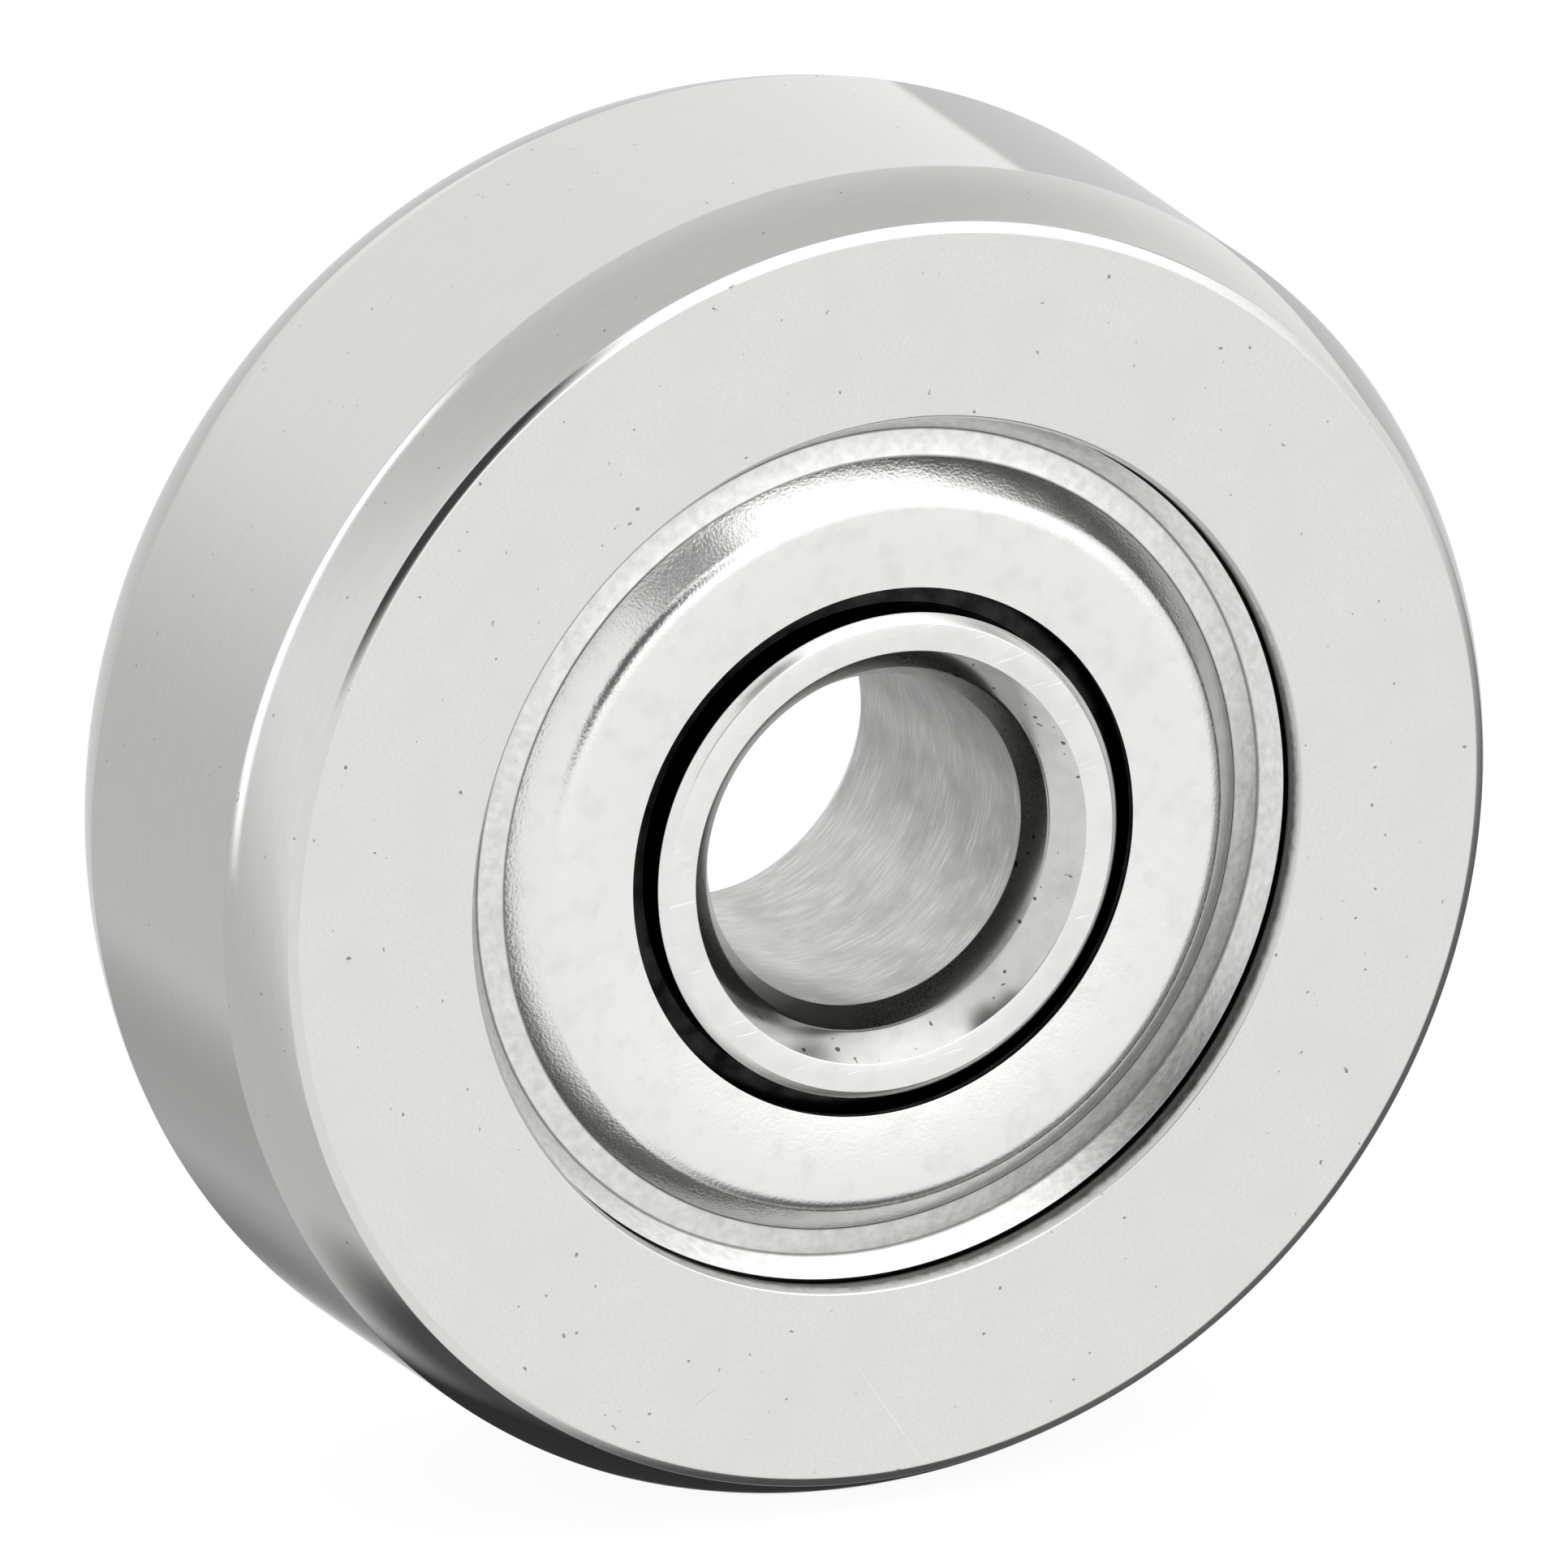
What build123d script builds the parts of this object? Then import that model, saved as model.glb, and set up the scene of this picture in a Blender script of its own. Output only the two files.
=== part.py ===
from build123d import *
import os
from math import atan2, cos, pi, radians, sin, sqrt, tan

# A single-row deep-groove ball bearing whose thick outer ring serves as a roller.
# Frame: millimetres, +Z up, the turning axis along Y, the front face towards -Y,
# and the origin at the middle of the bore.
# A turned piece is drawn as the outline of its front half in the XY plane, where X is
# the radius and Y the axial place, and is mirrored to the rear.

# ---- Driving sizes ----
bore_diameter = 12.7
outside_diameter = 50.8
outer_ring_width = 17.46
inner_ring_proud = 0.30  # how far the inner ring stands out of the outer ring, each side

ball_diameter = 7.144
ball_count = 7
inner_wall = 3.05  # steel between the bore and the bottom of the inner raceway
groove_conformity = 0.52  # raceway groove radius over ball diameter
raceway_depth = 1.43  # from the shoulder down to the bottom of the groove
running_clearance = 0.03  # ball to raceway, at the bottom of each groove

bore_lead_radial = 0.60  # slow cone that leads into each end of the bore
bore_lead_axial = 1.17
bore_mouth_radial = 0.97  # wider cone from there out to the face
bore_mouth_axial = 1.13
land_step = 1.53  # from the inner ring's shoulder down to the land under the shield lip
land_chamfer = 0.33

tread_corner_radial = 1.19  # turned radius at each side of the outside diameter
tread_corner_axial = 3.03
tread_corner_angle = 14  # degrees between the tread and the start of that radius
edge_break_radial = 0.36  # slight cone between that radius and the face
edge_break_axial = 0.17

sheet_thickness = 0.35  # the pressed sheet of the shields
shield_recess = 0.38  # from the outer ring's face down to the shield's flat
shield_rim_depth = 1.60  # from the outer ring's face down to the crease at the shield's rim
rim_fall = 0.15  # the rim is squeezed thinner from that crease out to the bead
shield_gap = 0.82  # from the inner ring's land out to the shield's lip
shield_axial_gap = 0.60  # from the shield's lip down to the inner ring's shoulder
slope_run = 1.68  # radial length of the slope between flat and rim
slope_bend_r = 1.10  # outside radius of the bend from flat to slope
rim_width = 1.04
bead_width = 0.96  # clenched bead at the shield's outer edge
bead_height = 0.64  # from the foot of the bead's inner side up to its top
bead_side_radial = 0.21  # the bead's outer side falls away into its groove
bead_side_axial = 0.31

seat_width = 1.61  # radial width of the step that the shield seats on
bead_clearance = 0.02  # bead to groove, radially
entry_lip = 0.12  # the groove's lip covers the bead by this much, radially
entry_lip_depth = 0.95  # from the outer ring's face down to that lip's underside
mouth_chamfer_radial = 0.15
mouth_chamfer_axial = 0.22

cage_sheet = 0.60
pocket_clearance = 0.10  # ball to cage pocket
cage_side_clearance = 0.60  # cage to ring shoulders, radially
rivet_margin = 0.35  # from a rivet's head to the pockets on each side of it
rivet_wall = 0.50  # how far a rivet's head covers the sheet around its shank
rivet_head_height = 0.50
rivet_clearance = 0.02  # shank to hole, radially

# ---- Sizes that follow ----
bore_r = bore_diameter / 2
tread_r = outside_diameter / 2
outer_face = outer_ring_width / 2
inner_face = outer_face + inner_ring_proud

ball_r = ball_diameter / 2
ball_step = 360 / ball_count
pitch_r = bore_r + inner_wall + running_clearance + ball_r
groove_r = groove_conformity * ball_diameter
groove_half_width = sqrt(groove_r**2 - (groove_r - raceway_depth) ** 2)
inner_raceway_r = pitch_r - ball_r - running_clearance
outer_raceway_r = pitch_r + ball_r + running_clearance
inner_shoulder_r = inner_raceway_r + raceway_depth
outer_shoulder_r = outer_raceway_r - raceway_depth
land_r = inner_shoulder_r - land_step

bead_r = outer_shoulder_r + seat_width
bead_inner_r = bead_r - bead_width
rim_inner_r = bead_inner_r - rim_width
flat_outer_r = rim_inner_r - slope_run
lip_r = land_r + shield_gap
bead_groove_r = bead_r + bead_clearance
entry_r = bead_r - entry_lip

flat_front = shield_recess
flat_back = flat_front + sheet_thickness
rim_front = shield_rim_depth
rim_back = rim_front + sheet_thickness
shoulder_depth = flat_back + shield_axial_gap

pocket_r = ball_r + pocket_clearance
pocket_outer_r = pocket_r + cage_sheet
cage_inner_r = inner_shoulder_r + cage_side_clearance
cage_outer_r = outer_shoulder_r - cage_side_clearance
rivet_room = 2 * pitch_r * sin(pi / ball_count / 2) - pocket_outer_r
rivet_head_r = rivet_room - rivet_margin
rivet_shank_r = rivet_head_r - rivet_wall


def below(depth):
    """Axial place of a point this deep below the outer ring's front face."""
    return depth - outer_face


def turned(front_half):
    """A solid of revolution about Y from the outline of its front half."""
    rear_half = [mirror(line, about=Plane.XZ) for line in front_half]
    return revolve(make_face(front_half + rear_half), Axis.Y)


def band(inner_r, outer_r, front, rear):
    """A plain flat ring between two axial places."""
    corners = (inner_r, front), (outer_r, front), (outer_r, rear), (inner_r, rear)
    return revolve(make_face(Polyline(*corners, close=True)), Axis.Y)


def at_ball(number, half_steps=0):
    """Place on the pitch circle, at a ball or a number of half steps past it."""
    return Rot(Y=ball_step * (number - 1 + half_steps / 2)) * Pos(Z=pitch_r)


def inner_ring():
    """Bore with coned mouths, narrow face, land under the shield lip, shoulder, raceway."""
    shoulder_edge = (inner_shoulder_r, -groove_half_width)
    outline = [
        Polyline(
            (bore_r, 0),
            (bore_r, bore_lead_axial + bore_mouth_axial - inner_face),
            (bore_r + bore_lead_radial, bore_mouth_axial - inner_face),
            (bore_r + bore_lead_radial + bore_mouth_radial, -inner_face),
            (land_r - land_chamfer, -inner_face),
            (land_r, land_chamfer - inner_face),
            (land_r, below(shoulder_depth)),
            (inner_shoulder_r, below(shoulder_depth)),
            shoulder_edge,
        ),
        TangentArc((inner_raceway_r, 0), shoulder_edge, tangent=(0, -1)),
    ]
    return turned(outline)


def outer_ring():
    """Tread with turned corners, face, mouth, bead groove, shield seat, shoulder, raceway."""
    tread_end = (tread_r, below(edge_break_axial + tread_corner_axial))
    corner_end = (tread_r - tread_corner_radial, below(edge_break_axial))
    corner_start = radians(tread_corner_angle)
    shoulder_edge = (outer_shoulder_r, -groove_half_width)
    outline = [
        Line((tread_r, 0), tread_end),
        TangentArc(tread_end, corner_end, tangent=(-sin(corner_start), -cos(corner_start))),
        Polyline(
            corner_end,
            (corner_end[0] - edge_break_radial, below(0)),
            (entry_r + mouth_chamfer_radial, below(0)),
            (entry_r, below(mouth_chamfer_axial)),
            (entry_r, below(entry_lip_depth)),
            (bead_groove_r, below(entry_lip_depth)),
            (bead_groove_r, below(rim_back)),
            (outer_shoulder_r, below(rim_back)),
            shoulder_edge,
        ),
        TangentArc((outer_raceway_r, 0), shoulder_edge, tangent=(0, -1)),
    ]
    return turned(outline)


def front_shield():
    """Pressed sheet disc: flat, bend, slope, rim on its seat, bead clenched in the groove."""
    slope_drop = rim_front - flat_front
    run_past_centre = sqrt(slope_run**2 + (slope_drop - slope_bend_r) ** 2 - slope_bend_r**2)
    slope_angle = atan2(slope_drop - slope_bend_r, slope_run) + atan2(slope_bend_r, run_past_centre)
    back_bend_r = slope_bend_r - sheet_thickness

    def bend_end(radius):
        across = flat_outer_r + radius * sin(slope_angle)
        return across, below(flat_front + slope_bend_r - radius * cos(slope_angle))

    back_drop = below(rim_back) - bend_end(back_bend_r)[1]
    back_slope_end = (bend_end(back_bend_r)[0] + back_drop / tan(slope_angle), below(rim_back))
    bead_foot = rim_front + rim_fall
    bead_top = below(bead_foot - bead_height)
    outline = [
        Line((lip_r, below(flat_front)), (flat_outer_r, below(flat_front))),
        TangentArc((flat_outer_r, below(flat_front)), bend_end(slope_bend_r), tangent=(1, 0)),
        Polyline(
            bend_end(slope_bend_r),
            (rim_inner_r, below(rim_front)),
            (bead_inner_r, below(bead_foot)),
            (bead_r - bead_side_radial, bead_top),
            (bead_r, bead_top + bead_side_axial),
            (bead_r, below(rim_back)),
            back_slope_end,
            bend_end(back_bend_r),
        ),
        TangentArc((flat_outer_r, below(flat_back)), bend_end(back_bend_r), tangent=(1, 0)),
        Polyline(
            (flat_outer_r, below(flat_back)),
            (lip_r, below(flat_back)),
            (lip_r, below(flat_front)),
        ),
    ]
    return revolve(make_face(outline), Axis.Y)


def rear_shield():
    """The same pressing as the front shield, facing the rear."""
    return mirror(front_shield(), about=Plane.XZ)


def ball(number):
    """One hardened ball, centred on the pitch circle."""
    return at_ball(number) * Rot(X=90) * Sphere(ball_r)


def front_cage_half():
    """Pressed ribbon: flat webs with a rivet hole between hemispherical ball pockets."""
    numbers = range(1, ball_count + 1)
    ribbon = band(cage_inner_r, cage_outer_r, -cage_sheet, 0)
    ribbon += [at_ball(n) * Rot(X=90) * Sphere(pocket_outer_r) for n in numbers]
    ribbon &= band(cage_inner_r, cage_outer_r, -pocket_outer_r, 0)
    ribbon -= [at_ball(n) * Rot(X=90) * Sphere(pocket_r) for n in numbers]
    hole = Rot(X=90) * Cylinder(rivet_shank_r + rivet_clearance, 4 * cage_sheet)
    return ribbon - [at_ball(n, half_steps=1) * hole for n in numbers]


def rear_cage_half():
    """The same pressing as the front half, facing the rear."""
    return mirror(front_cage_half(), about=Plane.XZ)


def cage_rivet(number):
    """Rivet through the two webs that follow a ball, with a domed head on each side."""
    head_top = (0, -cage_sheet - rivet_head_height)
    head_edge = (rivet_head_r, -cage_sheet)
    outline = [
        Line((0, 0), head_top),
        TangentArc(head_top, head_edge, tangent=(1, 0)),
        Polyline(head_edge, (rivet_shank_r, -cage_sheet), (rivet_shank_r, 0)),
    ]
    return at_ball(number, half_steps=1) * turned(outline)


pieces = {
    "inner_ring": inner_ring(),
    "outer_ring": outer_ring(),
    "front_shield": front_shield(),
    "rear_shield": rear_shield(),
    "front_cage_half": front_cage_half(),
    "rear_cage_half": rear_cage_half(),
}
for number in range(1, ball_count + 1):
    pieces[f"ball_{number}"] = ball(number)
    pieces[f"cage_rivet_{number}"] = cage_rivet(number)

os.makedirs("parts", exist_ok=True)
for name, piece in pieces.items():
    export_step(piece, f"parts/{name}.step")
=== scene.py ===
import math

import bpy
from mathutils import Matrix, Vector


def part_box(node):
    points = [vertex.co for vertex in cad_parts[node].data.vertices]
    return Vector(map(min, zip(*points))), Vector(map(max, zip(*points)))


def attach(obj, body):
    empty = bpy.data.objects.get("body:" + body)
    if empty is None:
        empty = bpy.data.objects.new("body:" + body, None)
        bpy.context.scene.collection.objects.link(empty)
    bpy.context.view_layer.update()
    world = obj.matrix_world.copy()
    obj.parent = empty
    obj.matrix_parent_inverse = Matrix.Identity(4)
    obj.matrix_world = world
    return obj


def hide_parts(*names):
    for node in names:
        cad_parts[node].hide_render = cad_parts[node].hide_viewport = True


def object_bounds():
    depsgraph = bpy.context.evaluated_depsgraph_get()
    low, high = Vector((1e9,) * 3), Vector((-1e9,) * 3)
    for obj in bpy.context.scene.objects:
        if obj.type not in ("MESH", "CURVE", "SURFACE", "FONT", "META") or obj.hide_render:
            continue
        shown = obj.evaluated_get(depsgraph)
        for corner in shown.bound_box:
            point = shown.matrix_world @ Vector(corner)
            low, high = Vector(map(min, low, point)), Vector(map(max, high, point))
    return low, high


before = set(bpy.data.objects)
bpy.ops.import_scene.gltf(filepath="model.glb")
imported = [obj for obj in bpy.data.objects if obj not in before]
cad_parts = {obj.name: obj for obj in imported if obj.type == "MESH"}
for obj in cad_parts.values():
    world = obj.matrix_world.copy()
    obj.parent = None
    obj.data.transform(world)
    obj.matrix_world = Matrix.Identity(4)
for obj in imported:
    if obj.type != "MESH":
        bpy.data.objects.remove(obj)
cad_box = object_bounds()


# ---- Inner ring ----
# The inner ring is bearing steel, hardened, then ground in the bore and on both faces.
# It clamps on the shaft, stands a little proud of the outer ring, and has two turned
# cones at each mouth of its bore.
MM = 0.001
SEGMENTS = 480  # flats round each turned piece, too fine to see
ARC_STEP = math.radians(4)

inner_face_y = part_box("inner_ring")[0].y
inner_shoulder_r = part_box("inner_ring")[1].x
bore_r = 6.35 * MM
lead_radial, lead_axial = 0.60 * MM, 1.17 * MM
mouth_radial, mouth_axial = 0.97 * MM, 1.13 * MM
mouth_blend = 0.12 * MM  # half the length of the soft turn between the two cones
land_r, land_chamfer = 9.30 * MM, 0.33 * MM
land_end_y = -7.40 * MM
inner_raceway_r = 9.40 * MM
raceway_half_width = 2.926 * MM


def tangent_arc(start, end, heading):
    """Points of the circular arc that leaves start at this heading, in degrees, and reaches end."""
    chord = Vector(end) - Vector(start)
    heading = math.radians(heading)
    turn = 2 * (math.atan2(chord.y, chord.x) - heading)
    turn = (turn + math.pi) % (2 * math.pi) - math.pi
    radius = chord.length / 2 / math.sin(turn / 2)
    steps = math.ceil(abs(turn) / ARC_STEP)
    points = []
    for i in range(1, steps + 1):
        part = turn * i / steps
        reach = 2 * radius * math.sin(part / 2)
        along = heading + part / 2
        points.append((start[0] + reach * math.cos(along), start[1] + reach * math.sin(along)))
    return points


def both_sides(front_half):
    """The closed outline of a ring from its front half, which ends on the middle plane."""
    return front_half + [(r, -y) for r, y in reversed(front_half[:-1])]


def turned_ring(name, outline, edge_width):
    """A ring turned about Y: a circle extruded and scaled along its section, edges broken."""
    bpy.ops.object.select_all(action="DESELECT")
    r, y = outline[0]
    bpy.ops.mesh.primitive_circle_add(
        vertices=SEGMENTS, radius=r, location=(0, y, 0), rotation=(math.pi / 2, 0, 0)
    )
    piece = bpy.context.object
    piece.name = name
    piece.data.name = name
    bpy.ops.object.transform_apply()
    bpy.ops.object.mode_set(mode="EDIT")
    bpy.ops.mesh.select_all(action="SELECT")
    for next_r, next_y in outline[1:] + outline[:1]:
        bpy.ops.mesh.extrude_region_move(TRANSFORM_OT_translate={"value": (0, next_y - y, 0)})
        growth = next_r / r
        bpy.ops.transform.resize(value=(growth, 1, growth), center_override=(0, 0, 0))
        r, y = next_r, next_y
    bpy.ops.mesh.select_all(action="SELECT")
    bpy.ops.mesh.remove_doubles(threshold=0.0005 * MM)
    bpy.ops.mesh.normals_make_consistent(inside=False)
    bpy.ops.object.mode_set(mode="OBJECT")
    bpy.ops.object.shade_smooth()
    bpy.ops.object.modifier_add(type="BEVEL")
    bevel = piece.modifiers[-1]
    bevel.width = edge_width
    bevel.segments = 3
    bevel.angle_limit = math.radians(7)
    bpy.ops.object.modifier_apply(modifier=bevel.name)
    bpy.ops.object.modifier_add(type="WEIGHTED_NORMAL")
    bpy.ops.object.modifier_apply(modifier=piece.modifiers[-1].name)
    return piece


def srgb(code):
    """An sRGB hex colour as the linear colour that a socket takes."""
    levels = [int(code[i : i + 2], 16) / 255 for i in (1, 3, 5)]
    linear = [v / 12.92 if v <= 0.04045 else ((v + 0.055) / 1.055) ** 2.4 for v in levels]
    return (*linear, 1.0)


def add(tree, kind, links=None, values=None, **settings):
    """Add a node with its settings, its sockets' values and the links into its sockets."""
    node = tree.nodes.new(kind)
    for name, value in settings.items():
        setattr(node, name, value)
    for socket, value in (values or {}).items():
        node.inputs[socket].default_value = value
    for socket, source in (links or {}).items():
        tree.links.new(source, node.inputs[socket])
    return node


def new_material(name):
    """An empty node material: its tree and its object coordinates."""
    material = bpy.data.materials.new(name)
    material.use_nodes = True
    material.node_tree.nodes.clear()
    return material, add(material.node_tree, "ShaderNodeTexCoord").outputs["Object"]


def grain(tree, place, size, low, high, stretch=(1, 1, 1), turn=0, detail=2.0):
    """Noise of this size from 0 at low to 1 at high, drawn out along an axis, turned about Y."""
    drawn = add(
        tree, "ShaderNodeMapping", {"Vector": place}, {"Rotation": (0, math.radians(turn), 0)}
    )
    scaled = add(
        tree, "ShaderNodeVectorMath", {0: drawn.outputs[0]}, {1: stretch}, operation="MULTIPLY"
    )
    noise = add(
        tree, "ShaderNodeTexNoise", {"Vector": scaled.outputs[0]},
        {"Scale": 1 / size, "Detail": detail},
    )
    spread = add(
        tree, "ShaderNodeMapRange", {"Value": noise.outputs["Fac"]},
        {"From Min": low, "From Max": high},
    )
    return spread.outputs["Result"]


def stain(tree, factor, below, above):
    """The colour below, turning to the colour above where the factor is 1."""
    mix = add(tree, "ShaderNodeMix", {0: factor}, data_type="RGBA")
    for socket, colour in ((6, below), (7, above)):
        if isinstance(colour, tuple):
            mix.inputs[socket].default_value = colour
        else:
            tree.links.new(colour, mix.inputs[socket])
    return mix.outputs[2]


def metal(material, colour, roughness, *reliefs):
    """Finish the material as bare metal, each relief a height pattern and its depth in metres."""
    tree = material.node_tree
    shader = add(tree, "ShaderNodeBsdfPrincipled", values={"Metallic": 1.0})
    for socket, value in (("Base Color", colour), ("Roughness", roughness)):
        if isinstance(value, (tuple, float)):
            shader.inputs[socket].default_value = value
        else:
            tree.links.new(value, shader.inputs[socket])
    normal = None
    for height, depth in reliefs:
        bump = add(tree, "ShaderNodeBump", {"Height": height}, {"Distance": depth})
        if normal:
            tree.links.new(normal, bump.inputs["Normal"])
        normal = bump.outputs[0]
    if normal:
        tree.links.new(normal, shader.inputs["Normal"])
    add(tree, "ShaderNodeOutputMaterial", {"Surface": shader.outputs[0]})
    return material


def paint_faces(piece, materials, choose):
    """Give each face the material whose number choose returns for its radius and |y|."""
    for material in materials:
        piece.data.materials.append(material)
    for face in piece.data.polygons:
        r = math.hypot(face.center.x, face.center.z)
        face.material_index = choose(r, abs(face.center.y))


# Ground faces: an even satin grey, with short bright scratches that all run nearly one way.
inner_ground, place = new_material("ground_inner_face_steel")
tree = inner_ground.node_tree
fine_lines = grain(tree, place, 0.07 * MM, 0.35, 0.80, (0.08, 1, 1), 12, 3.0)
scratches = grain(tree, place, 0.09 * MM, 0.70, 0.78, (0.06, 1, 1), 8, 1.0)
handling = grain(tree, place, 1.2 * MM, 0.45, 0.80, detail=5.0)
tone = stain(tree, handling, srgb("#D9D9D7"), srgb("#CFCFCD"))
tone = stain(tree, scratches, tone, srgb("#F2F2F0"))
metal(inner_ground, tone, 0.22, (fine_lines, 0.0006 * MM))

# Ground bore: short grinding strokes round the axis, under a thin uneven film of oil.
inner_bore, place = new_material("ground_bore_steel")
tree = inner_bore.node_tree
bore_lines = grain(tree, place, 0.06 * MM, 0.30, 0.75, (0.10, 1, 0.10), detail=3.0)
streaks = grain(tree, place, 0.09 * MM, 0.45, 0.75, (0.07, 1, 0.07), detail=3.0)
oil_film = grain(tree, place, 1.6 * MM, 0.45, 0.75, detail=5.0)
tone = stain(tree, streaks, srgb("#B0B0AE"), srgb("#D0D0CE"))
tone = stain(tree, oil_film, tone, srgb("#A2A29F"))
metal(inner_bore, tone, 0.26, (bore_lines, 0.0012 * MM))

# The cones at the mouths are turned smooth, with a few dark pits and no grinding lines.
turned_mouth, place = new_material("turned_bore_mouth_steel")
tree = turned_mouth.node_tree
mouth_pits = grain(tree, place, 0.30 * MM, 0.78, 0.82, detail=0.0)
mouth_film = grain(tree, place, 1.0 * MM, 0.45, 0.80, detail=5.0)
tone = stain(tree, mouth_film, srgb("#BEBEBC"), srgb("#B0B0AD"))
metal(turned_mouth, stain(tree, mouth_pits, tone, srgb("#5E5C58")), 0.12)

# Under the shields the steel is wet with dark oil, and its colour is made near black as painted
# shade, so the deep gap between them reads as black.
oil_and_shade_steel, place = new_material("oil_and_painted_shade_steel")
tree = oil_and_shade_steel.node_tree
smears = grain(tree, place, 0.8 * MM, 0.35, 0.70, detail=4.0)
metal(oil_and_shade_steel, stain(tree, smears, srgb("#2A2A29"), srgb("#101010")), 0.28)

face_inner_r = bore_r + lead_radial + mouth_radial
cones_meet = Vector((bore_r + lead_radial, inner_face_y + mouth_axial))
lead = Vector((lead_radial, -lead_axial)).normalized()
mouth = Vector((mouth_radial, -mouth_axial)).normalized()
blend_start, blend_end = cones_meet - mouth_blend * lead, cones_meet + mouth_blend * mouth
race_edge = (inner_shoulder_r, -raceway_half_width)
race_arc = tangent_arc((inner_raceway_r, 0), race_edge, -90)
inner_outline = both_sides(
    [(bore_r, inner_face_y + mouth_axial + lead_axial), tuple(blend_start)]
    + tangent_arc(blend_start, blend_end, math.degrees(math.atan2(lead.y, lead.x)))
    + [
        (face_inner_r, inner_face_y),
        (land_r - land_chamfer, inner_face_y),
        (land_r, inner_face_y + land_chamfer),
        (land_r, land_end_y),
        (inner_shoulder_r, land_end_y),
    ]
    + race_arc[::-1]
    + [(inner_raceway_r, 0)]
)
inner_ring = turned_ring("inner_ring_ground", inner_outline, 0.03 * MM)

EDGE = 0.02 * MM  # a broken edge reaches this far past the boundary of its surface
unshaded_land = 0.90 * MM  # the land keeps its ground finish this far in from the face; deeper in it is oil-dark and painted with shade


def inner_finish(r, y):
    if r < bore_r + EDGE:
        return 1
    if r < face_inner_r:
        return 2
    if r < land_r - EDGE or y > abs(inner_face_y) - unshaded_land:
        return 0
    return 3


paint_faces(inner_ring, (inner_ground, inner_bore, turned_mouth, oil_and_shade_steel), inner_finish)
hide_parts("inner_ring")
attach(inner_ring, "inner")


# ---- Balls ----
# Seven balls of hardened chrome steel, ground and lapped to a mirror, run in the two
# raceways. They are the carried-over solids with a lapped finish.
lapped_steel, place = new_material("lapped_chrome_steel")
tree = lapped_steel.node_tree
ball_oil = grain(tree, place, 1.5 * MM, 0.40, 0.80, detail=3.0)
metal(lapped_steel, stain(tree, ball_oil, srgb("#D0D0CE"), srgb("#B5B3AC")), 0.05)


def carried_over(prefix, material):
    """Give a finish to every CAD node whose name starts with the prefix."""
    for name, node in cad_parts.items():
        if name.startswith(prefix):
            for slot in node.material_slots:
                slot.material = material


carried_over("ball_", lapped_steel)


# ---- Cage ----
# Two halves pressed from soft steel strip hold the balls apart, closed by seven rivets
# with domed heads. Pressing leaves the strip dull, with faint drawing marks.
pressed_strip, place = new_material("pressed_strip_steel")
tree = pressed_strip.node_tree
draw_marks = grain(tree, place, 0.15 * MM, 0.30, 0.75, (0.2, 1, 0.2), detail=4.0)
scale_film = grain(tree, place, 1.8 * MM, 0.35, 0.75, detail=5.0)
tone = stain(tree, scale_film, srgb("#8E8B84"), srgb("#6A6862"))
metal(pressed_strip, tone, 0.38, (draw_marks, 0.004 * MM))
carried_over("front_cage_half", pressed_strip)
carried_over("rear_cage_half", pressed_strip)

# The rivets are headed cold from wire: a brighter metal with hammered, uneven domes.
headed_wire, place = new_material("cold_headed_rivet_steel")
tree = headed_wire.node_tree
hammered = grain(tree, place, 0.35 * MM, 0.30, 0.75, detail=2.0)
metal(
    headed_wire, stain(tree, hammered, srgb("#B0AEA8"), srgb("#8A8882")), 0.32,
    (hammered, 0.01 * MM),
)
carried_over("cage_rivet_", headed_wire)


# ---- Outer ring ----
# The outer ring is bearing steel with an extra thick wall, so that it can run as a roller.
# Its tread is ground bright, its faces are ground satin, and a turned radius and a slight
# cone join them. The shields seat in a recess at each mouth.
outer_r = -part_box("outer_ring")[0].x
outer_face_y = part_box("outer_ring")[0].y
corner_radial, corner_axial = 1.19 * MM, 3.03 * MM
corner_heading = -104  # the corner leaves the tread at a crisp 14-degree edge
break_radial, break_axial = 0.36 * MM, 0.17 * MM
entry_r, entry_depth = 16.664 * MM, 0.95 * MM
mouth_chamfer_radial, mouth_chamfer_axial = 0.15 * MM, 0.22 * MM
bead_groove_r = 16.804 * MM
seat_depth = 1.95 * MM
outer_shoulder_r = 15.174 * MM
outer_raceway_r = 16.604 * MM

face_outer_r = outer_r - corner_radial - break_radial
corner_start = (outer_r, outer_face_y + break_axial + corner_axial)
corner_end = (outer_r - corner_radial, outer_face_y + break_axial)
race_edge = (outer_shoulder_r, -raceway_half_width)
race_arc = tangent_arc((outer_raceway_r, 0), race_edge, -90)
outer_outline = both_sides(
    [corner_start]
    + tangent_arc(corner_start, corner_end, corner_heading)
    + [
        (face_outer_r, outer_face_y),
        (entry_r + mouth_chamfer_radial, outer_face_y),
        (entry_r, outer_face_y + mouth_chamfer_axial),
        (entry_r, outer_face_y + entry_depth),
        (bead_groove_r, outer_face_y + entry_depth),
        (bead_groove_r, outer_face_y + seat_depth),
        (outer_shoulder_r, outer_face_y + seat_depth),
    ]
    + race_arc[::-1]
    + [(outer_raceway_r, 0)]
)
outer_ring = turned_ring("outer_ring_ground", outer_outline, 0.05 * MM)

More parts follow.
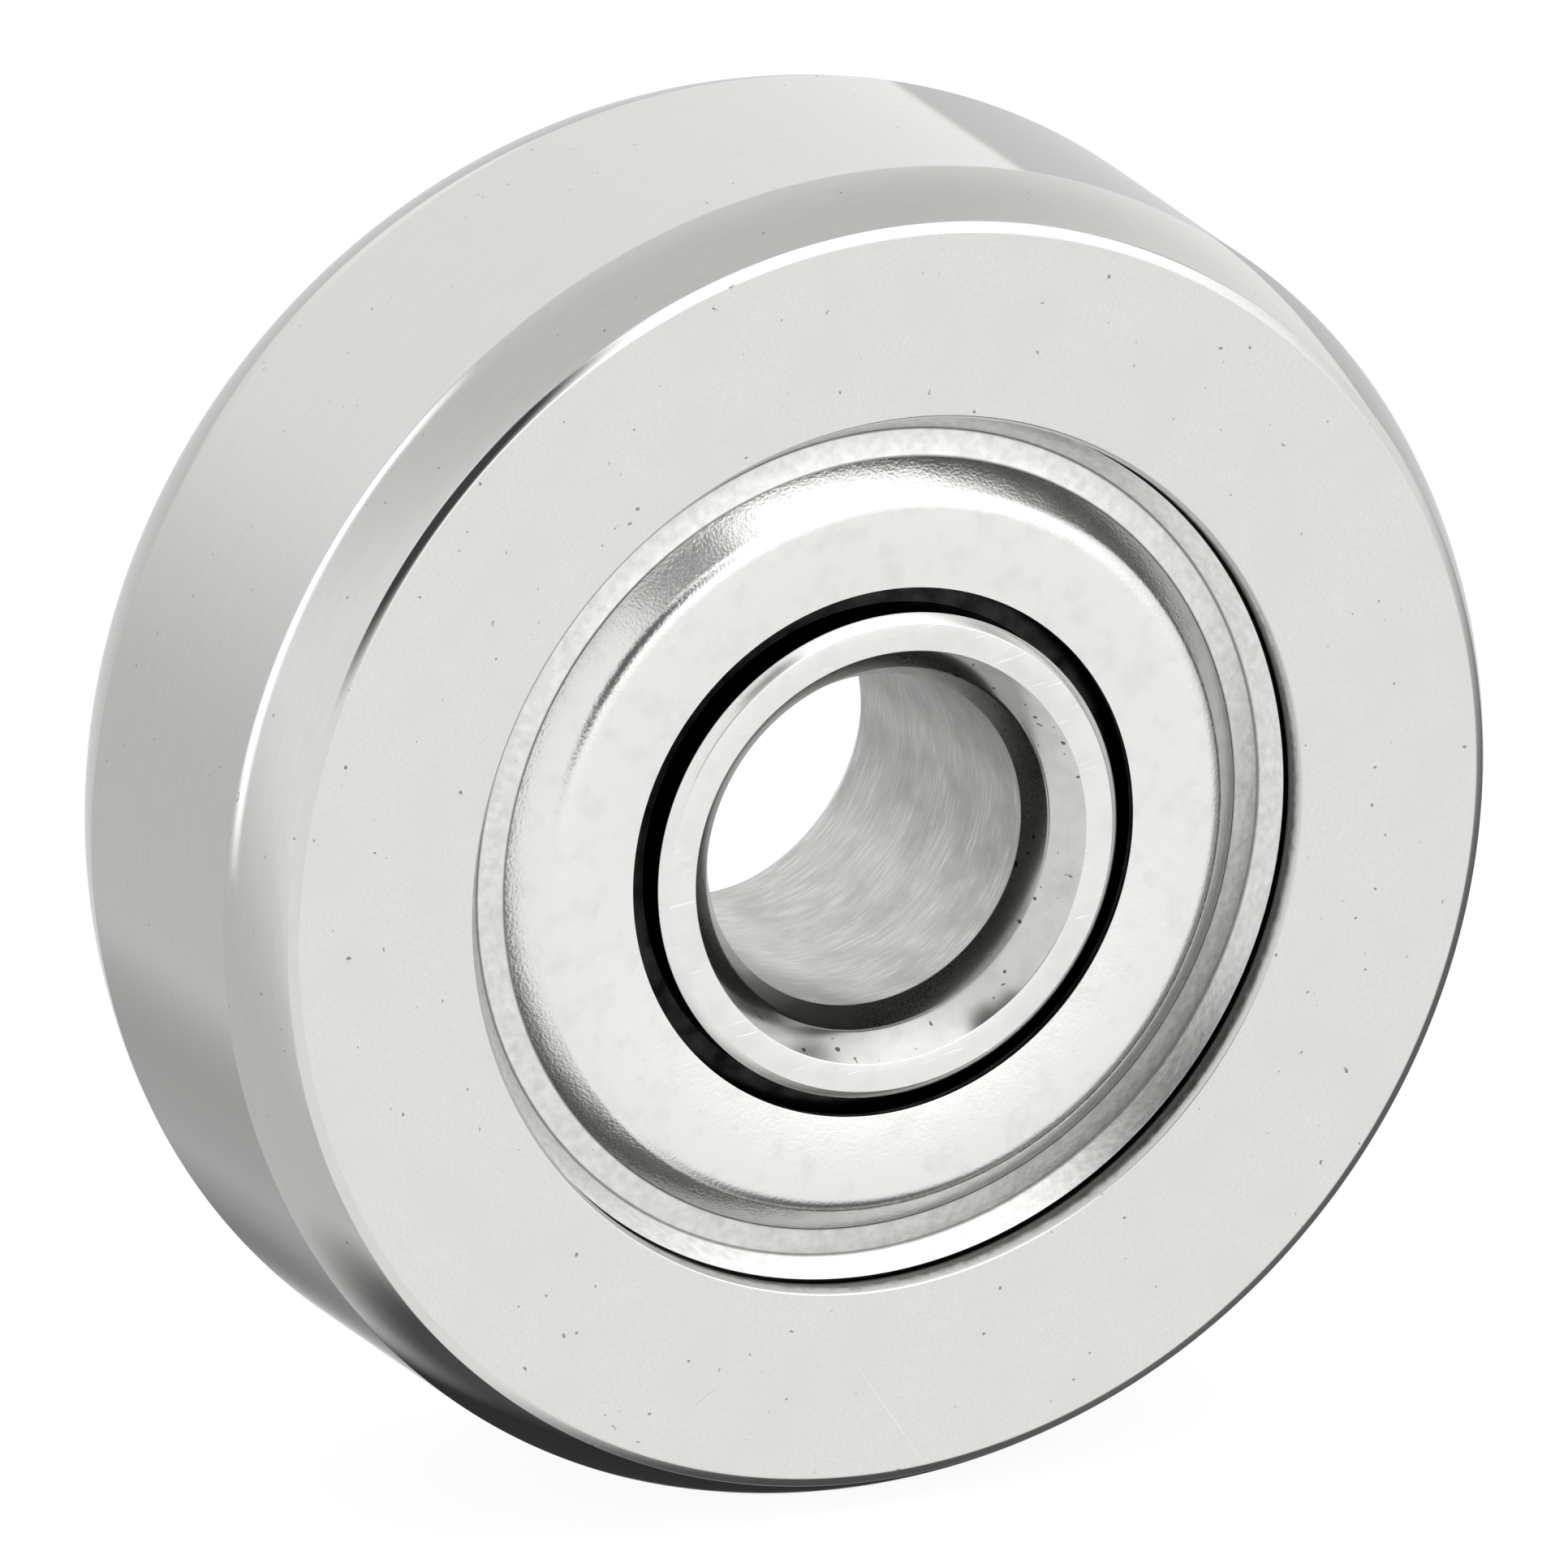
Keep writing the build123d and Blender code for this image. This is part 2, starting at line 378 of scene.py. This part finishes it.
# Ground face: an even satin grey with faint clouds, a few dark specks and hair scratches.
outer_ground, place = new_material("ground_outer_face_steel")
tree = outer_ground.node_tree
clouds = grain(tree, place, 3.0 * MM, 0.42, 0.80, detail=7.0)
specks = grain(tree, place, 0.26 * MM, 0.86, 0.90, detail=0.0)
scratch_a = grain(tree, place, 0.12 * MM, 0.86, 0.92, (1, 1, 0.01), 33, 0.0)
scratch_b = grain(tree, place, 0.10 * MM, 0.87, 0.93, (1, 1, 0.015), -58, 0.0)
fine_grain = grain(tree, place, 0.10 * MM, 0.30, 0.70, detail=2.0)
tone = stain(tree, clouds, srgb("#D2D2D0"), srgb("#CACAC8"))
tone = stain(tree, fine_grain, tone, srgb("#CCCCCA"))
tone = stain(tree, scratch_a, tone, srgb("#DADAD8"))
tone = stain(tree, scratch_b, tone, srgb("#B2B2B0"))
tone = stain(tree, specks, tone, srgb("#8C8B88"))
metal(outer_ground, tone, 0.26, (fine_grain, 0.0010 * MM))

# Ground tread and turned corner: almost a mirror, with a trace of the wheel's lines round it.
bright_tread, place = new_material("bright_ground_tread_steel")
tree = bright_tread.node_tree
wheel_lines = grain(tree, place, 0.10 * MM, 0.25, 0.80, (0.03, 1, 0.03), detail=4.0)
wheel_tone = grain(tree, place, 0.16 * MM, 0.35, 0.80, (0.10, 1, 0.10), detail=4.0)
bright_specks = grain(tree, place, 0.24 * MM, 0.85, 0.88, detail=0.0)
tone = stain(tree, wheel_tone, srgb("#C9C9C7"), srgb("#C5C5C3"))
tone = stain(tree, bright_specks, tone, srgb("#9A9A98"))
metal(bright_tread, tone, 0.06, (wheel_lines, 0.00015 * MM))

# Inside the mouth the turned wall keeps its colour at the face and darkens further in: painted
# shade, for the shadow deep in the recess.
unshaded_depth, full_shade_depth = 0.05 * MM, 0.40 * MM
shade_edge_reach = 0.20 * MM  # how far the edge of the painted shade wanders
shaded_mouth, place = new_material("painted_shade_turned_mouth_steel")
tree = shaded_mouth.node_tree
along = add(tree, "ShaderNodeSeparateXYZ", {"Vector": place}).outputs["Y"]
from_middle = add(tree, "ShaderNodeMath", {0: along}, operation="ABSOLUTE").outputs[0]
shade_edge_noise = grain(tree, place, 0.40 * MM, 0.30, 0.70, detail=4.0)
ragged = add(
    tree, "ShaderNodeMath", {0: shade_edge_noise, 2: from_middle}, {1: shade_edge_reach},
    operation="MULTIPLY_ADD",
).outputs[0]
# Painted shade: the wall's colour darkens with depth into the recess.
painted_shade = add(
    tree, "ShaderNodeMapRange", {"Value": ragged},
    {"From Min": abs(outer_face_y) - unshaded_depth, "From Max": abs(outer_face_y) - full_shade_depth},
)
tone = stain(tree, painted_shade.outputs[0], srgb("#C6C6C4"), srgb("#646462"))
metal(shaded_mouth, tone, 0.30)

ground_to_r = face_outer_r + 0.03 * MM  # the face is ground last, over its broken edge
mouth_from_r = entry_r - 0.01 * MM
mouth_from_y = abs(outer_face_y) - seat_depth - 0.01 * MM


# Past the mouth, the steel inside takes the dark oil colour that also paints the shade within the
# bearing.
def outer_finish(r, y):
    if r > ground_to_r:
        return 1
    if r > entry_r + mouth_chamfer_radial:
        return 0
    if r > mouth_from_r and y > mouth_from_y:
        return 2
    return 3


paint_faces(outer_ring, (outer_ground, bright_tread, shaded_mouth, oil_and_shade_steel), outer_finish)
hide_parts("outer_ring")
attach(outer_ring, "outer")


# ---- Shields ----
# Each shield is a disc pressed from thin bright steel sheet. It has a flat lip that runs
# clear of the inner ring, a rounded slope down to its rim, and an outer edge clenched
# into a bead that snaps under the lip of the outer ring's recess.
sheet = 0.35 * MM
flat_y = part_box("front_shield")[0].y
lip_r = 10.12 * MM
flat_outer_r = 13.104 * MM
bend_r = 1.10 * MM
rim_inner_r, rim_y = 14.784 * MM, outer_face_y + 1.60 * MM
bead_inner_r, bead_foot_y = 15.824 * MM, outer_face_y + 1.75 * MM
bead_top_r, bead_outer_r = 16.574 * MM, 16.784 * MM
bead_top_y, bead_side_y = outer_face_y + 1.11 * MM, outer_face_y + 1.42 * MM
seat_y = outer_face_y + seat_depth

# The slope runs straight from the end of the bend to the crease at the rim.
bend_centre = (flat_outer_r, flat_y + bend_r)
to_crease = Vector((rim_inner_r, rim_y)) - Vector(bend_centre)
straight = math.sqrt(to_crease.length_squared - bend_r**2)
slope_angle = math.atan2(to_crease.y, to_crease.x) + math.atan2(bend_r, straight)


def bend_end(radius):
    """Where the bend of this radius turns into the slope."""
    return (
        bend_centre[0] + radius * math.sin(slope_angle),
        bend_centre[1] - radius * math.cos(slope_angle),
    )


inside_end = bend_end(bend_r - sheet)
back_slope_r = inside_end[0] + (seat_y - inside_end[1]) / math.tan(slope_angle)
shield_outline = (
    [(lip_r, flat_y), (flat_outer_r, flat_y)]
    + tangent_arc((flat_outer_r, flat_y), bend_end(bend_r), 0)
    + [
        (rim_inner_r, rim_y),
        (bead_inner_r, bead_foot_y),
        (bead_top_r, bead_top_y),
        (bead_outer_r, bead_side_y),
        (bead_outer_r, seat_y),
        (back_slope_r, seat_y),
    ]
    + tangent_arc((flat_outer_r, flat_y + sheet), inside_end, 0)[::-1]
    + [(flat_outer_r, flat_y + sheet), (lip_r, flat_y + sheet)]
)

# Bright pressed sheet: smooth and shiny, with the fine orange peel that pressing leaves.
pressed_sheet, place = new_material("bright_pressed_sheet_steel")
tree = pressed_sheet.node_tree
orange_peel = grain(tree, place, 0.12 * MM, 0.25, 0.75, detail=2.0)
long_waves = grain(tree, place, 1.2 * MM, 0.25, 0.75, detail=2.0)
dull_marks = grain(tree, place, 1.0 * MM, 0.50, 0.80, detail=6.0)
tone = stain(tree, dull_marks, srgb("#DADAD8"), srgb("#D0D0CE"))
metal(pressed_sheet, tone, 0.20, (orange_peel, 0.0045 * MM), (long_waves, 0.006 * MM))


def band(tree, value, centre, full, edge, most=1.0):
    """A share: most within full of the centre value, falling to 0 at edge away from it."""
    off = add(tree, "ShaderNodeMath", {0: value}, {1: centre}, operation="SUBTRACT")
    distance = add(tree, "ShaderNodeMath", {0: off.outputs[0]}, operation="ABSOLUTE")
    fall = add(
        tree, "ShaderNodeMapRange", {"Value": distance.outputs[0]},
        {"From Min": edge, "From Max": full, "To Max": most},
    )
    return fall.outputs["Result"]


# The rim and bead are rubbed by the clenching tool: duller and pitted, with a thin line of
# painted shade darkening the crease on each side of the rim.
CREASE_FULL, CREASE_EDGE = 0.02 * MM, 0.08 * MM
CREASE_SHADE = 0.75
clenched_rim, place = new_material("clenched_rim_sheet_steel")
tree = clenched_rim.node_tree
tool_rub = grain(tree, place, 0.16 * MM, 0.30, 0.75, (0.4, 1, 0.4), detail=5.0)
rim_pits = grain(tree, place, 0.08 * MM, 0.68, 0.78, detail=2.0)
tone = stain(tree, tool_rub, srgb("#D6D6D4"), srgb("#C0C0BE"))
tone = stain(tree, rim_pits, tone, srgb("#8E8E8C"))
across = add(tree, "ShaderNodeVectorMath", {0: place}, {1: (1, 0, 1)}, operation="MULTIPLY")
from_axis = add(tree, "ShaderNodeVectorMath", {0: across.outputs[0]}, operation="LENGTH")
for crease_r in (rim_inner_r, bead_inner_r):
    crease_shade = band(
        tree, from_axis.outputs["Value"], crease_r, CREASE_FULL, CREASE_EDGE, CREASE_SHADE
    )
    tone = stain(tree, crease_shade, tone, srgb("#4A4A48"))
metal(clenched_rim, tone, 0.28, (tool_rub, 0.004 * MM))


def shield_finish(r, y):
    return 1 if r > rim_inner_r - EDGE else 0


for side, mirror in (("front", 1), ("rear", -1)):
    outline = [(r, y * mirror) for r, y in shield_outline]
    shield = turned_ring(side + "_shield_pressed", outline, 0.03 * MM)
    paint_faces(shield, (pressed_sheet, clenched_rim), shield_finish)
    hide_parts(side + "_shield")
    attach(shield, "outer")


# ---- Floor, studio and camera ----
# The bearing stands on its tread on a plain pale floor, in a white studio: soft light all
# round, a bright bank in front above, and the dark gaps that metal shows between them.
FLOOR_SIZE = 3.0
PAPER_GLOW, PAPER_SHADE = 0.90, 0.14
bpy.ops.object.select_all(action="DESELECT")
bpy.ops.mesh.primitive_plane_add(size=FLOOR_SIZE, location=(0, 0, cad_box[0][2]))
floor = bpy.context.object
floor.name = "floor"
floor.visible_glossy = False

# Matt white paper, so evenly lit that it shows only a trace of shadow under the bearing.
white_paper = bpy.data.materials.new("matt_white_paper")
white_paper.use_nodes = True
tree = white_paper.node_tree
tree.nodes.clear()
white = srgb("#FFFFFF")
glow = add(tree, "ShaderNodeEmission", values={"Color": white, "Strength": PAPER_GLOW})
matt = add(tree, "ShaderNodeBsdfDiffuse", values={"Color": (*[PAPER_SHADE] * 3, 1.0)})
both = add(tree, "ShaderNodeAddShader", {0: glow.outputs[0], 1: matt.outputs[0]})
add(tree, "ShaderNodeOutputMaterial", {"Surface": both.outputs[0]})
floor.data.materials.append(white_paper)


def towards(azimuth, elevation):
    """Direction at an azimuth, 0 in front and positive to the right, and an elevation."""
    a, e = math.radians(azimuth), math.radians(elevation)
    return Vector((math.sin(a) * math.cos(e), -math.cos(a) * math.cos(e), math.sin(e)))


world = bpy.data.worlds.new("studio")
bpy.context.scene.world = world
world.use_nodes = True
tree = world.node_tree
tree.nodes.clear()
direction = add(tree, "ShaderNodeTexCoord").outputs["Generated"]
OPEN_LIGHT = 1.17
# Each is: azimuth, elevation, radius and softness of its edge in degrees, brightness.
# A later one lies in front of those before it.
studio = {
    "ceiling_behind": (180, 62, 48, 40, 0.84),
    "wall_behind": (180, 14, 36, 40, 1.18),
    "table_behind": (150, -60, 63.7, 1.2, 0.74),
    "table_left": (-150, -40, 46, 36, 0.76),
    "shade_low_behind": (-174, -30, 8, 14, 0.50),
    "front_sweep": (0, -5, 80, 30, 1.17),
    "under_left_behind": (-165, -70, 18, 16, 0.10),
    "gap_right_behind": (150, -46, 22, 10, 0.04),
    "gap_right": (94, -36, 26, 32, 0.18),
    "gap_high_right": (72, 32, 10, 10, 0.30),
    "gap_below_right": (50, -66, 16, 24, 0.12),
    "bank_in_front": (22, 34, 36, 30, 1.90),
    "gap_above_camera": (-23, 53, 7, 8, 0.14),
    "gap_upper_left": (-34, 46, 5, 7, 0.14),
    "gap_round_camera": (-19, 20, 16, 12, 0.08),
}
level = add(tree, "ShaderNodeValue")
level.outputs[0].default_value = OPEN_LIGHT
light = level.outputs[0]
for azimuth, elevation, radius, softness, brightness in studio.values():
    near = add(
        tree, "ShaderNodeVectorMath", {0: direction}, {1: towards(azimuth, elevation)},
        operation="DOT_PRODUCT",
    )
    edge = add(
        tree, "ShaderNodeMapRange", {"Value": near.outputs["Value"]},
        {
            "From Min": math.cos(math.radians(radius + softness / 2)),
            "From Max": math.cos(math.radians(radius - softness / 2)),
        },
        interpolation_type="SMOOTHSTEP",
    )
    blend = add(tree, "ShaderNodeMix", {0: edge.outputs[0], 2: light}, {3: brightness})
    light = blend.outputs[0]

# A tall narrow strip light stands behind on the left. It fills a thin slice of the
# directions, at one share of Y, and fades out towards its two ends.
STRIP_AZIMUTH, STRIP_ELEVATION = -121, 20
STRIP_FULL_LENGTH, STRIP_FADED_LENGTH = 16, 34  # degrees from its middle
STRIP_Y, STRIP_FULL, STRIP_EDGE = 0.488, 0.010, 0.034
STRIP_BRIGHTNESS = 2.5
depth = add(tree, "ShaderNodeSeparateXYZ", {"Vector": direction}).outputs["Y"]
along_strip = add(
    tree, "ShaderNodeVectorMath", {0: direction},
    {1: towards(STRIP_AZIMUTH, STRIP_ELEVATION)}, operation="DOT_PRODUCT",
)
strip_ends = add(
    tree, "ShaderNodeMapRange", {"Value": along_strip.outputs["Value"]},
    {
        "From Min": math.cos(math.radians(STRIP_FADED_LENGTH)),
        "From Max": math.cos(math.radians(STRIP_FULL_LENGTH)),
    },
)
strip = add(
    tree, "ShaderNodeMath",
    {0: band(tree, depth, STRIP_Y, STRIP_FULL, STRIP_EDGE), 1: strip_ends.outputs[0]},
    operation="MULTIPLY",
)
light = add(
    tree, "ShaderNodeMix", {0: strip.outputs[0], 2: light}, {3: STRIP_BRIGHTNESS}
).outputs[0]

# The metal reflects all of this, and the backdrop itself is plain white.
seen = add(tree, "ShaderNodeLightPath").outputs["Is Camera Ray"]
shown = add(tree, "ShaderNodeMix", {0: seen, 2: light}, {3: 1.0})
backdrop = add(tree, "ShaderNodeBackground", {"Strength": shown.outputs[0]}, {"Color": white})
add(tree, "ShaderNodeOutputWorld", {"Surface": backdrop.outputs[0]})

VIEW_AZIMUTH, VIEW_ELEVATION = -25.72, 19.36
FRAME_WIDTH = 57.25 * MM
CAMERA_DISTANCE = 0.5
to_camera = towards(VIEW_AZIMUTH, VIEW_ELEVATION)
bpy.ops.object.camera_add(
    location=to_camera * CAMERA_DISTANCE, rotation=to_camera.to_track_quat("Z", "Y").to_euler()
)
camera = bpy.context.object
camera.data.type = "ORTHO"
camera.data.ortho_scale = FRAME_WIDTH
camera.data.clip_start = 0.01
bpy.context.scene.camera = camera
bpy.context.scene.view_settings.view_transform = "Standard"
